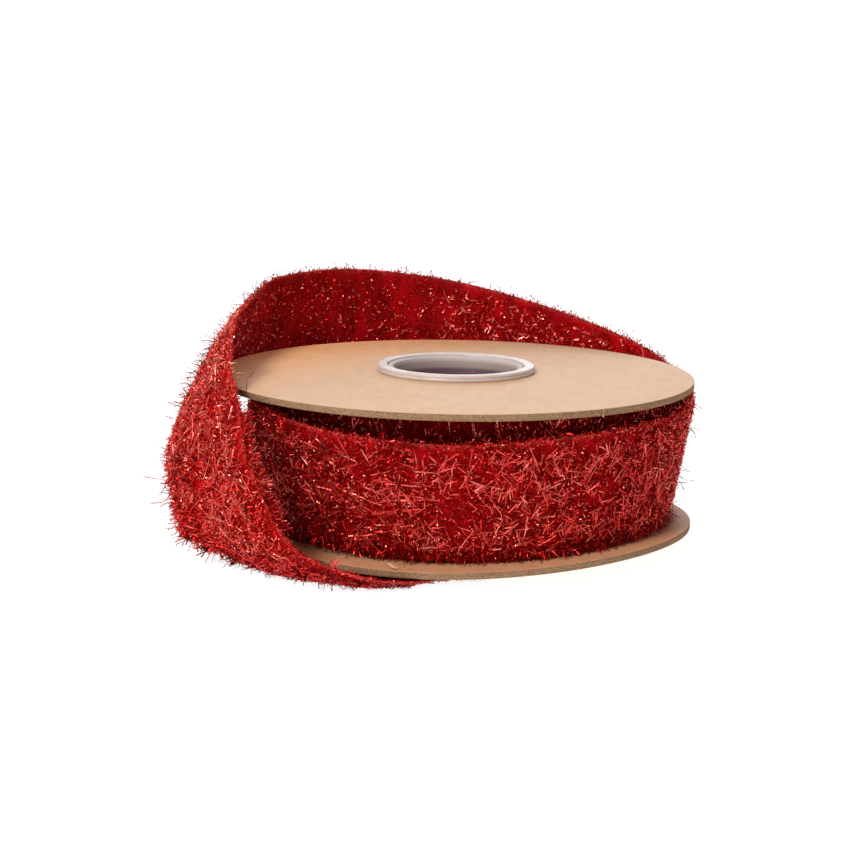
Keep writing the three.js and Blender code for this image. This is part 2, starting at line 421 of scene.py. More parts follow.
cut_board = Finish("cut_chipboard")
cut_board.set({"Roughness": 0.95, "Specular IOR Level": 0.1})
grain = cut_board.ramp(
    cut_board.noise(cut_board.place((1, 1, 2.5)), 1500, 4, 0.75),
    (0.30, (0.15, 0.076, 0.038)),
    (0.50, (0.30, 0.174, 0.096)),
    (0.72, (0.45, 0.295, 0.172)),
)
plies = cut_board.ramp(
    cut_board.noise(cut_board.place((0.06, 0.06, 2.0)), 1100, 2),
    (0.35, (0.82, 0.80, 0.78)),
    (0.65, NO_CHANGE),
)
cut_board.colour(cut_board.product(grain, plies))
cut_board.bump(cut_board.noise(cut_board.place((1, 1, 2.5)), 1700, 3), 0.12, 0.8)


def card_disc(name, base, rise, slide=0.0):
    """One flange: liner on its faces, bare board on its cut edges, bent to shape."""
    disc = turned(
        [(radius, base) for radius in CARD_RINGS]
        + [(radius, base + CARD_THICKNESS) for radius in reversed(CARD_RINGS)]
    )
    for face in disc.faces:
        face.material_index = 1 if abs(face.normal.z) < 0.5 else 0
    round_off(disc, CUT_EDGE_ROUNDING)
    for vert in disc.verts:
        bearing = np.degrees(np.arctan2(vert.co.y, vert.co.x))
        radius = vert.co.xy.length / MM
        vert.co.z += rise(radius, bearing) * MM
        vert.co.x += slide * bend_share(radius) * MM
    return finished(name, disc, liner.material, cut_board.material)


lower_card = card_disc("lower_card", LOWER_CARD_BASE, lower_card_rise, slide=0.4)
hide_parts("flange_lower")

# Wound ribbon: the tight turns of the ribbon on the hub, edge to edge between the
# cards. The turns show as fine ridges at both ends, and the outermost one widens the
# roll as a spiral that ends where the slipped turn begins.
WOUND_BASE = 3.6
WOUND_TOP = 40.2
WOUND_INSIDE = 20.4
WOUND_OUTSIDE = 51.2
TURN_START = -151
TURN_GROWTH = 1.8
TURN_PITCH = 1.65
RIDGE = 0.35
CARD_GAP = 0.15


def spiral_growth(bearing):
    """How far, in mm, the outermost turn stands out past the start of its turn."""
    return TURN_GROWTH * ((bearing - TURN_START) % 360) / 360


undergrowth = Finish("tinsel_undergrowth")
undergrowth.set({"Roughness": 0.85, "Specular IOR Level": 0.1})
tangle_place = undergrowth.place()
undergrowth.colour(
    undergrowth.ramp(
        undergrowth.noise(tangle_place, 2200, 3, 0.7),
        (0.35, (0.10, 0.000, 0.001)),
        (0.55, (0.30, 0.000, 0.002)),
        (0.72, (0.50, 0.004, 0.006)),
    )
)
undergrowth.bump(undergrowth.noise(tangle_place, 1800, 3), 0.3, 0.9)

ridges = [
    (radius, RIDGE if i % 2 else 0)
    for i, radius in enumerate(np.arange(WOUND_INSIDE, WOUND_OUTSIDE, TURN_PITCH / 2))
]
wound = turned(
    [(radius, WOUND_BASE + ridge) for radius, ridge in ridges]
    + [(WOUND_OUTSIDE - 0.2, WOUND_BASE + 0.5), (WOUND_OUTSIDE, WOUND_TOP - 1.6)]
    + [(radius, WOUND_TOP - ridge) for radius, ridge in reversed(ridges)]
)
for vert in wound.verts:
    radius = vert.co.xy.length / MM
    bearing = np.degrees(np.arctan2(vert.co.y, vert.co.x))
    outward = max(0, (radius - WOUND_INSIDE) / (WOUND_OUTSIDE - WOUND_INSIDE))
    vert.co.xy *= 1 + outward * spiral_growth(bearing) / radius
    if vert.co.z < WOUND_TOP / 2 * MM:
        vert.co.z += max(CARD_GAP + lower_card_rise(radius, bearing), 0) * MM
wound_turns = finished("wound_turns", wound, undergrowth.material)
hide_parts("wound_ribbon")

# Pile of the roll: narrow strips of red metallised film, cut short, that stand out of
# the ribbon's weave on all sides. Each strip is a thin closed blade, twisted a little;
# its tone varies because the film is dyed unevenly, and on the loose ribbon also by
# painted shade and painted light, and its gloss because it is creased.
tinsel = Finish("tinsel_film")
tinsel.set({"Metallic": 1.0, "Coat Weight": 0.12, "Coat Roughness": 0.15, "Coat IOR": 1.5})
tinsel.set({"Coat Tint": (1.0, 0.80, 0.70, 1)})
tone = tinsel.node("Attribute", attribute_name="tone")
tinsel.colour(
    tinsel.ramp(
        tone.outputs["Fac"],
        (0.0, (0.10, 0.012, 0.012)),
        (0.2, (0.46, 0.003, 0.003)),
        (0.45, (0.76, 0.018, 0.015)),
        (0.7, (0.77, 0.074, 0.060)),
        (0.85, (0.92, 0.175, 0.135)),
        (1.0, (1.00, 0.300, 0.230)),
    )
)
dullness = tinsel.node("Attribute", attribute_name="dullness")
tinsel.link(dullness.outputs["Fac"], tinsel.surface.inputs["Roughness"])
tinsel.bump(tinsel.noise(tinsel.place(), 2800, 1), 0.12, 0.5, "Coat Normal")

STRAND_GAP = 0.25
STRAND_MARGIN = 0.3
STRAND_FLOOR_GAP = 0.4
PRESSED_SHARE = 0.97
BLADE_FACES = ((0, 3, 1), (0, 1, 2), (0, 2, 3), (1, 3, 2))


def unit(vectors):
    """The vectors with a length of 1."""
    return vectors / np.maximum(np.linalg.norm(vectors, axis=-1, keepdims=True), 1e-9)


def square_to(vectors, way):
    """The unit part of each vector at right angles to its way."""
    return unit(vectors - (vectors * way).sum(1)[:, None] * way)


def settle(points, under_card, above_card):
    """Presses points, in mm about the axis, off the floor and out of both cards.

    A little of each move is left out, so that no blade is pressed quite flat.
    """
    radius = np.hypot(points[:, 0], points[:, 1])
    bearing = np.degrees(np.arctan2(points[:, 1], points[:, 0]))
    near = np.minimum(radius, FLANGE_RADIUS)
    within = radius < FLANGE_RADIUS + STRAND_MARGIN
    underside = LOWER_CARD_BASE + lower_card_rise(near, bearing)
    ceiling = UPPER_CARD_BASE + upper_card_rise(near, bearing)

    def at_least(limit, where):
        short = np.where(where, np.maximum(limit - points[:, 2], 0), 0)
        points[:, 2] += PRESSED_SHARE * short

    at_least(ceiling + CARD_THICKNESS + STRAND_GAP, within & above_card)
    at_least(underside + CARD_THICKNESS + STRAND_GAP, within & ~under_card)
    points[:, 2] *= -1
    at_least(STRAND_GAP - ceiling, within & ~above_card)
    at_least(STRAND_GAP - underside, within & under_card)
    points[:, 2] *= -1
    at_least(STRAND_FLOOR_GAP, np.full(len(points), True))
    return points


def strands(chance, roots, way, facing, lengths, widths, tones, dull, segments=1, bend=0.3,
            sag=0.0):
    """Strips of film from roots along their ways, each with its wide side facing one way.

    Gives a list of start, end, edge across the start, edge across the end, width, tone
    and dullness for each straight piece.
    """
    count = len(roots)
    edge = unit(np.cross(way, facing))
    start, pieces = roots, []
    for _ in range(segments):
        end = start + way * (lengths / segments)[:, None]
        twist = np.radians(chance.uniform(14, 50, count))[:, None]
        end_edge = np.cos(twist) * edge + np.sin(twist) * np.cross(way, edge)
        shade = np.clip(tones + chance.normal(0, 0.05, count), 0, 1)
        pieces.append((start, end, edge, end_edge, widths, shade, np.full(count, dull)))
        way = unit(way + chance.normal(0, bend, (count, 3)) - facing * sag)
        edge = square_to(end_edge, way)
        start = end
    return pieces


def joined_strips(name, pieces, under_card, between_cards=False, material=tinsel.material):
    """Joins strips into one piece of closed blades with four corners each."""
    start, end, edge, end_edge, width, shade, dull = (
        np.concatenate(part) for part in zip(*pieces)
    )
    half = width[:, None] / 2
    corners = np.stack(
        (start + edge * half, start - edge * half, end + end_edge * half, end - end_edge * half),
        axis=1,
    ).reshape(-1, 3)
    above = (start[:, 2] > UPPER_CARD_BASE) & ~np.full(len(start), between_cards)
    corners = settle(corners, np.repeat(under_card, 4), np.repeat(above, 4))
    faces = (np.arange(len(start))[:, None, None] * 4 + np.array(BLADE_FACES)).reshape(-1, 3)
    data = bpy.data.meshes.new(name)
    data.from_pydata(corners * MM + np.array(AXIS), [], faces)
    for attribute, values in (("tone", shade), ("dullness", dull)):
        layer = data.attributes.new(attribute, "FLOAT", "POINT")
        layer.data.foreach_set("value", np.repeat(values, 4).astype(np.float32))
    data.materials.append(material)
    piece = bpy.data.objects.new(name, data)
    bpy.context.scene.collection.objects.link(piece)
    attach(piece, "root")
    return piece


def spread(chance, along, up, out, lift, upright=0.0):
    """Random ways over a surface, lifted off it by random angles in degrees."""
    count = len(out)
    turn = chance.uniform(0, tau, count)[:, None]
    flat = unit(np.cos(turn) * along + np.sin(turn) * up * (1 + upright))
    rise = np.radians(chance.uniform(*lift, count))[:, None]
    return np.cos(rise) * flat + np.sin(rise) * out


def tones_of(chance, count, middle=0.5, pale=0.02, lit=0.0):
    """Mostly deep reds, a share of lighter ones and a few pale strips."""
    tones = np.clip(chance.normal(middle, 0.09, count), 0.05, 0.80)
    lighter = chance.random(count) < lit
    tones[lighter] = chance.normal(0.70, 0.05, count)[lighter]
    shiny = chance.random(count) < pale
    tones[shiny] = chance.uniform(0.82, 1.0, count)[shiny]
    return tones


def gathered(chance, spots, size, apart):
    """Draws spots together in tufts of one size, each tuft a little lighter or darker."""
    first = np.arange(len(spots[0])) // size * size
    roots, along, up, out, under, tall, shade = (values[first] for values in spots)
    scatter = chance.normal(0, apart, (len(first), 2))
    roots = roots + along * scatter[:, :1] + up * scatter[:, 1:]
    return roots, along, up, out, under, tall, shade + chance.normal(0, 0.05, len(first))[first]


def pile(chance, spots, crimped, laid, hairs, flakes=0, middle=0.5, upright=0.0, apart=1.0,
         pale_stubs=0.30, pale_laid=0.15, lit=0.25, flake_length=1.0, flake_tone=0.80,
         dulling=1.0):
    """Short crimped strips in tufts, long ones laid over them, stray hairs, flat flakes.

    Spots are roots, the ways along, up and out of the surface, whether each is under the
    lower card, the pile's height there and the painted shade or painted light that shifts
    its tone.
    """
    pieces, tucked = [], []
    ends = np.cumsum((0, crimped, laid, hairs, flakes))
    parts = [[values[a:b] for values in spots] for a, b in zip(ends, ends[1:])]

    # Crimped strips, of which four in ten are stubs, some of them pale.
    roots, along, up, out, under, tall, shade = gathered(chance, parts[0], 12, apart)
    count = len(roots)
    stub = chance.random(count) < 0.40
    way = spread(chance, along, up, out, (5, 62), upright)
    base = roots + out * ((chance.uniform(0.0, 0.65, count) + 0.4 * stub) * tall)[:, None]
    tones = tones_of(chance, count, middle, 0.05, lit)
    pale = stub & (chance.random(count) < pale_stubs)
    base += out * (0.4 * pale * tall)[:, None]
    tones[pale] = chance.uniform(0.72, 0.96, count)[pale]
    pieces += strands(
        chance, base, way, unit(chance.normal(size=(count, 3))),
        np.where(stub, 0.45, 1.0) * chance.uniform(0.7, 1.7, count) * tall,
        chance.uniform(0.18, 0.32, count), np.clip(tones + shade, 0, 1), 0.36 * dulling,
    )
    tucked += [under]

    # Long strips, combed flat over the others.
    roots, along, up, out, under, tall, shade = gathered(chance, parts[1], 4, apart)
    count = len(roots)
    way = spread(chance, along, up, out, (-6, 14), upright)
    lengths = np.minimum(2.0 + chance.gamma(2.0, 0.85, count), 6.5)
    base = (
        roots
        + out * (chance.uniform(0.9, 1.5, count) * tall)[:, None]
        - way * lengths[:, None] * chance.uniform(0.2, 0.8, count)[:, None]
    )
    pieces += strands(
        chance, base, way, unit(out + chance.normal(0, 0.35, (count, 3))), lengths,
        chance.uniform(0.20, 0.31, count),
        np.clip(chance.normal(0.70, 0.06, count) + shade, 0, 1)
        + 0.25 * (chance.random(count) < pale_laid), 0.42 * dulling,
        segments=2, bend=0.04,
    )
    tucked += [under, under]

    # Dark hairs that stand out.
    roots, along, up, out, under, tall, _ = gathered(chance, parts[2], 3, 0.5)
    count = len(roots)
    way = spread(chance, along, up, out, (15, 80), upright)
    pieces += strands(
        chance, roots + out * 0.3, way, unit(chance.normal(size=(count, 3))),
        chance.uniform(2.0, 6.5, count) * tall, chance.uniform(0.12, 0.22, count),
        np.clip(chance.normal(0.13, 0.04, count), 0, 1), 0.5, segments=3, bend=0.18, sag=0.1,
    )
    tucked += [under, under, under]

    # Flakes that lie flat and shine.
    roots, along, up, out, under, tall, _ = parts[3]
    count = len(roots)
    way = spread(chance, along, up, out, (-5, 25), upright)
    pieces += strands(
        chance, roots + out * (0.5 * tall)[:, None], way,
        unit(out + chance.normal(0, 0.45, (count, 3))),
        (0.5 + chance.gamma(1.5, 0.40, count)) * flake_length,
        chance.uniform(0.38, 0.60, count), chance.uniform(flake_tone, flake_tone + 0.2, count),
        0.60 * dulling,
        segments=2, bend=0.15,
    )
    tucked += [under, under]
    return pieces, np.concatenate(tucked)


# A few more roots are drawn than the strips need.
chance = np.random.default_rng(11)
count = 39200
bearing = chance.uniform(-180, 180, count)
turn = np.radians(bearing)
height = chance.uniform(WOUND_BASE + 0.6, WOUND_TOP - 0.8, count)
out = np.stack((np.cos(turn), np.sin(turn), np.zeros(count)), axis=1)
along = np.stack((-np.sin(turn), np.cos(turn), np.zeros(count)), axis=1)
up = np.tile((0.0, 0.0, 1.0), (count, 1))
reach = WOUND_OUTSIDE - 0.2 + 0.4 * height / WOUND_TOP + spiral_growth(bearing)
roots = out * reach[:, None] + up * height[:, None]
spots = (roots, along, up, out, np.full(count, False), np.ones(count), np.zeros(count))
pieces, tucked = pile(
    chance, spots, crimped=34000, laid=2100, hairs=400, flakes=2400, middle=0.36,
    upright=1.5, apart=0.8, pale_stubs=0.5, pale_laid=0.4, dulling=0.5,
)
joined_strips("roll_pile", pieces, tucked, between_cards=True)

# Upper card: a second disc of the same lined chipboard, laid on the wound ribbon's upper
# edge. It is dished, so that its rim hangs below its middle.
upper_card = card_disc("upper_card", UPPER_CARD_BASE, upper_card_rise)
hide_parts("flange_upper")

# Upper hub half: the outer sleeve, moulded of the same pale plastic and pushed over the
# inner one. Its grooved lip holds the upper card, and a step inside the lip shows the rim
# of the inner sleeve.
OUTER_SLEEVE_INSIDE = 18.3
OUTER_SLEEVE_OUTSIDE = 19.3
UPPER_LIP_UNDERSIDE = 43.12
upper_hub = turned(
    (
        (OUTER_SLEEVE_INSIDE, LOWER_CARD_BASE),
        (OUTER_SLEEVE_OUTSIDE, LOWER_CARD_BASE),
        (OUTER_SLEEVE_OUTSIDE, UPPER_LIP_UNDERSIDE),
        (20.9, UPPER_LIP_UNDERSIDE),
        (21.1, 43.2),
        (21.15, 43.8),
        (21.0, 43.95),
        (21.0, 44.05),
        (21.1, 44.2),
        (21.1, 44.55),
        (20.95, 44.8),
        (20.75, 44.9),
        (20.1, 44.93),
        (19.9, 44.86),
        (19.6, 44.86),
        (19.4, 44.93),
        (18.8, 44.9),
        (18.45, 44.8),
        (OUTER_SLEEVE_INSIDE, 44.55),
    )
)
hub_upper_piece = finished("hub_upper_sleeve", upper_hub, frosted.material)
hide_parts("hub_upper")

# Loose ribbon: the last turn has slipped down the roll, leans outwards and runs on as
# a loop behind the spool, past its left side and flat under the lower card. It is one
# strip of red weave with a paler selvedge along both edges.
BACKING_WIDTH = 31.5
WEAVE_THICKNESS = 0.4
WEAVE_GAP = 0.7
RIM_MARGIN = 3
STEPS_PER_SECTION = 6
COLUMNS = 13

# Each section gives the bearing, reach and height of the strip's middle line, the lean of
# its upper edge from upright, the bearing that it leans toward, and the belly of its
# middle, in degrees and mm.
SLIPPED_TURN = (
    (-215, 50.0, 22.4, 2, -215, 0),
    (-190, 51.0, 22.6, 2, -190, 0),
    (-172, 52.0, 22.8, 3, -172, 0),
    (-160, 54.1, 22.9, 5, -160, 0),
    (-149.5, 56.6, 22.4, 8, -149.5, 0),
    (-120, 58.0, 20.9, 15, -120, 0),
    (-90, 58.0, 19.7, 17, -90, 0),
    (-60, 58.1, 20.6, 13, -60, 0),
    (-30, 58.3, 20.6, 11, -30, 0),
)
LOOSE_LOOP = (
    (-6, 59.2, 21.2, 10, -6, 0),
    (18, 65.2, 22.8, 8, 18, 0),
    (42, 70.0, 29.3, 0, 0, 0),
    (68, 71.5, 37.0, 0, 0, 0),
    (93, 72.4, 44.3, 4, 270, 0),
    (116, 73.4, 47.8, 7, 295, 0),
    (137, 72.3, 47.6, 13, 318, 0.5),
    (154, 68.8, 45.5, 21, 335, 1.0),
    (170, 67.0, 43.6, 25, 348, 1.2),
    (184, 67.2, 41.7, 26, 352, 1.2),
    (196, 68.9, 41.0, 30, 342, 1.0),
    (206, 72.5, 35.9, 36, 330, 0.6),
    (213.5, 74.7, 28.5, 44, 325, 0.5),
    (219.5, 77.6, 20.2, 49, 318, 0.6),
    (225, 76.6, 14.3, 53.7, 304.4, 1.2),
    (230.5, 73.1, 5.7, 60.9, 285.2, 2.7),
    (237.5, 68.4, 1.4, 68.4, 276.8, 2.0),
    (246.5, 59.2, -0.4, 86.4, 272.8, 2.7),
    (257, 47.0, -0.1, 86.7, 287.8, 0.7),
    (273, 40.5, 0.8, 90, 298, 0),
)


def smooth_rail(points):
    """A smooth curve through points, with even steps between each pair."""
    padded = np.concatenate(
        ([2 * points[0] - points[1]], points, [2 * points[-1] - points[-2]])
    )
    share = (np.arange(STEPS_PER_SECTION) / STEPS_PER_SECTION)[None, :, None]
    p0, p1, p2, p3 = (padded[k : k + len(points) - 1][:, None, :] for k in range(4))
    curve = 0.5 * (
        2 * p1
        + (p2 - p0) * share
        + (2 * p0 - 5 * p1 + 4 * p2 - p3) * share**2
        + (3 * p1 - p0 - 3 * p2 + p3) * share**3
    )
    return np.concatenate((curve.reshape(-1, 3), points[-1:]))


def strip_surface(sections, width, sides):
    """Points and outward normals of the strip: a row per step, a column per side."""
    bearing, reach, height, lean, toward, belly = np.array(sections, float).T
    turn, tip, way = np.radians(bearing), np.radians(lean), np.radians(toward)
    middle = np.stack((reach * np.cos(turn), reach * np.sin(turn), height), axis=1)
    upper_way = np.stack(
        (np.sin(tip) * np.cos(way), np.sin(tip) * np.sin(way), np.cos(tip)), axis=1
    )
    ends = np.concatenate((middle[:1], middle, middle[-1:]))
    forward = unit(ends[2:] - ends[:-2])
    upper_way = square_to(upper_way, forward)
    outward = np.cross(forward, upper_way)
    half = upper_way * np.sqrt((width / 2) ** 2 - belly**2)[:, None]
    chord = middle - outward * belly[:, None]
    lower_rail, middle_rail, upper_rail = map(smooth_rail, (chord - half, middle, chord + half))
    points = np.stack(
        [
            lower_rail * (side * (side - 1) / 2)
            + middle_rail * (1 - side * side)
            + upper_rail * (side * (side + 1) / 2)
            for side in sides
        ],
        axis=1,
    )
    normals = unit(np.cross(np.gradient(points, axis=0), np.gradient(points, axis=1)))
    return points, normals


SECTIONS = SLIPPED_TURN + LOOSE_LOOP
strip_points, strip_normals = strip_surface(
    SECTIONS, BACKING_WIDTH, np.linspace(-1, 1, COLUMNS)
)
steps = len(strip_points)
section_bearings = np.array([section[0] for section in SECTIONS], float)
tuck_step = STEPS_PER_SECTION * int(np.argmax(section_bearings > 220))


def laid(points, tucked, gap):
    """Lays strip points over or under the lower card, a gap off it, and on the floor."""
    height = points[..., 2]
    radius = np.hypot(points[..., 0], points[..., 1])
    bearing = np.degrees(np.arctan2(points[..., 1], points[..., 0]))
    underside = LOWER_CARD_BASE + lower_card_rise(np.minimum(radius, FLANGE_RADIUS), bearing)
    past_rim = radius - FLANGE_RADIUS - RIM_MARGIN
    on_card = np.maximum(height, underside + CARD_THICKNESS + gap)
    over = np.where(past_rim < 0, on_card, height)
    under = np.minimum(height, underside - gap + 3 * np.maximum(0, past_rim))
    points[..., 2] = np.maximum(np.where(tucked, under, over), gap)
    return points


tucked_rows = (np.arange(steps) > tuck_step)[:, None]
strip_points = laid(strip_points, tucked_rows, WEAVE_GAP)

step_lengths = np.linalg.norm(np.diff(strip_points[:, COLUMNS // 2], axis=0), axis=1)
distance = np.concatenate(([0], np.cumsum(step_lengths)))
weave = bmesh.new()
strip_uv = weave.loops.layers.uv.new("strip")
grid = [[weave.verts.new(Vector(point) * MM) for point in row] for row in strip_points]
for i in range(steps - 1):
    for j in range(COLUMNS - 1):
        corners = ((i, j), (i + 1, j), (i + 1, j + 1), (i, j + 1))
        face = weave.faces.new([grid[row][column] for row, column in corners])
        for loop, (row, column) in zip(face.loops, corners):
            loop[strip_uv].uv = (distance[row] / BACKING_WIDTH, column / (COLUMNS - 1))

woven = Finish("red_weave")
woven.set({"Roughness": 0.85, "Specular IOR Level": 0.1})
weave_uv = woven.node("UVMap", uv_map="strip")
weave_split = woven.node("SeparateXYZ")
woven.link(weave_uv.outputs["UV"], weave_split.inputs[0])
selvedge = woven.ramp(
    weave_split.outputs["Y"],
    (0.0, (0.36, 0.020, 0.020)),
    (0.02, (0.36, 0.006, 0.008)),
    (0.04, (0.36, 0.000, 0.003)),
    (0.96, (0.36, 0.000, 0.003)),
    (0.98, (0.42, 0.020, 0.018)),
    (1.0, (0.58, 0.085, 0.070)),
)
weave_tangle = woven.ramp(
    woven.noise(woven.place(), 2200, 3, 0.7),
    (0.35, (0.35, 0.30, 0.30)),
    (0.55, NO_CHANGE),
    (0.75, (1.6, 1.3, 1.3)),
)
crush = woven.ramp(
    woven.noise(woven.place((1, 1, 0.35)), 190, 3, 0.6),
    (0.36, (0.68, 0.68, 0.68)),
    (0.62, (1.16, 1.10, 1.10)),
)


def along_loop(first, last):
    """0 to 1 along the strip from one section of the loop to another."""
    share = woven.node("MapRange")
    for name, section in (("From Min", first), ("From Max", last)):
        step = STEPS_PER_SECTION * (len(SLIPPED_TURN) + section)
        share.inputs[name].default_value = distance[step] / BACKING_WIDTH
    woven.link(weave_split.outputs["X"], share.inputs["Value"])
    return share.outputs["Result"]


# The weave is painted redder, as light, up to the loop's far right and from its front
# left on, and painted dark, as shade, where it is tucked under the card.
far_right_light = woven.ramp(along_loop(2, 5), (0.0, (1.3, 1.0, 1.0)), (1.0, NO_CHANGE))
front_left_light = woven.ramp(along_loop(9, 11), (0.0, NO_CHANGE), (1.0, (1.5, 1.0, 1.0)))
tucked_shade = woven.ramp(along_loop(17, 18), (0.0, NO_CHANGE), (1.0, (0.20, 0.30, 0.30)))
woven.colour(woven.product(selvedge, weave_tangle, crush, far_right_light, front_left_light, tucked_shade))
woven.bump(woven.noise(woven.place(), 1900, 3), 0.25, 0.9)

backing = finished("ribbon_backing", weave, woven.material)
thickness = backing.modifiers.new("weave_thickness", "SOLIDIFY")
thickness.thickness = WEAVE_THICKNESS * MM
thickness.offset = 0
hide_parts("loose_ribbon")

# Pile of the loose ribbon: the outer face has the longer strips, loosely combed, and
# the inner face, which was pressed against the roll, has short and tangled ones.
# Strips along both edges reach past the weave as a short fringe.
strip_along = unit(np.gradient(strip_points, axis=0))
strip_up = unit(np.gradient(strip_points, axis=1))

OUTER_FACE, INNER_FACE = 1, -1
CLUMP_STEPS = 2.7

# The pile's height at bearings along the strip, as a share of its usual height.
PILE_HEIGHTS = (
    (-215, 0.5), (-165, 0.6), (-150, 0.9), (130, 1), (158, 0.8), (184, 0.85), (200, 1.05),
    (213, 1.3), (226, 1.2), (238, 0.9), (246, 0.7), (254, 0.4), (273, 0.3),
)
step_bearings = np.interp(
    np.arange(steps) / STEPS_PER_SECTION, np.arange(len(SECTIONS)), section_bearings
)
pile_heights = np.interp(step_bearings, *zip(*PILE_HEIGHTS))
loop_start = STEPS_PER_SECTION * len(SLIPPED_TURN)
loop_right = loop_start + 4 * STEPS_PER_SECTION
loop_left = loop_start + 6 * STEPS_PER_SECTION
tail_step = int(np.searchsorted(step_bearings, 253))


def spots_on_strip(chance, count, first, last, face, inset=0):
    """Random roots on one face of the strip between two steps, even by area."""
    part = strip_points[first : last + 1, inset : COLUMNS - inset]
    across = part.shape[1] - 1
    edge_a, edge_b = np.diff(part, axis=0)[:, :-1], np.diff(part, axis=1)[:-1]
    areas = np.linalg.norm(np.cross(edge_a, edge_b), axis=2).ravel()
    cells = chance.choice(len(areas), count, p=areas / areas.sum())
    row, column = first + cells // across, inset + cells % across
    a, b = chance.random(count)[:, None], chance.random(count)[:, None]

    def between(values):
        return (
            values[row, column] * (1 - a) * (1 - b)
            + values[row + 1, column] * a * (1 - b)
            + values[row, column + 1] * (1 - a) * b
            + values[row + 1, column + 1] * a * b
        )

    out = unit(between(strip_normals)) * face
    roots = between(strip_points) + out * WEAVE_THICKNESS / 2
    side = 2 * (column + b[:, 0]) / (COLUMNS - 1) - 1
    tucked = row + a[:, 0] > tuck_step
    tall = pile_heights[row]
    along, up = unit(between(strip_along)), unit(between(strip_up))
    return roots, along, up, out, side, tucked, tall, row


def fade_in(value, start, width):
    """0 up to the start, then rising to 1 over the width."""
    return np.clip((value - start) / width, 0, 1)


def ribbon_pile(name, seed, first, last, face, numbers, middle, height=1.0, **shares):
    """Pile on one face of the strip; near the edges it leans off the weave as a fringe.

    The numbers are of crimped strips, long ones, hairs and flakes. The outer face has
    painted shade along the slipped turn's hem, towards both ends of the slipped turn, at
    the crest's back, which is lit from behind, and along the tail's hem, and painted light
    in the fold at the left; both faces have painted shade where they face the floor.
    """
    chance = np.random.default_rng(seed)
    # Long strips and flakes stay a column away from the selvedges.
    sorts = [
        spots_on_strip(chance, number, first, last, face, inset)
        for number, inset in zip(numbers, (0, 1, 0, 1))
    ]
    roots, along, up, out, side, tucked, tall, row = (np.concatenate(v) for v in zip(*sorts))
    edge = fade_in(np.abs(side), 0.9, 0.1)[:, None]
    outward = up * np.sign(side)[:, None]
    roots = roots + outward * edge * 0.3
    out = unit(out + outward * edge * 0.6)
    bearing, on_loop = step_bearings[row], row >= loop_start
    floor_facing_shade = fade_in(-out[:, 2], 0.45, 0.35) * fade_in(-roots[:, 2], -17, 8)
    lower_edge = fade_in(-side, 0.80, 0.08) * ~on_loop
    slip_end_shade = fade_in(np.abs(bearing + 92), 18, 25) * ~on_loop
    crest = fade_in(side, 0.80, 0.1) * on_loop
    backlit_shade = fade_in(side, 0.50, 0.3) * on_loop * (bearing < 162)
    fold = fade_in(bearing, 160, 12) * fade_in(-bearing, -222, 12) * fade_in(side, 0.45, 0.4)
    tail_hem_shade = fade_in(bearing, 220, 8) * fade_in(-side, 0.35, 0.35)
    # Painted shade and painted light: the tones are shifted darker along the hems, towards the
    # slipped turn's ends, at the back crest and where the pile faces the floor, and lighter in
    # the fold.
    shade = 0.24 * fold - 0.32 * lower_edge - 0.07 * slip_end_shade - 0.36 * backlit_shade
    shade = (face > 0) * (shade - 0.28 * tail_hem_shade) - 0.32 * floor_facing_shade
    tall = tall * height * (1 - 0.5 * crest - 0.35 * lower_edge)
    spots = (roots, along, up, out, tucked, tall, shade)
    pieces, under = pile(chance, spots, *numbers, middle, **shares)
    return joined_strips(name, pieces, under)


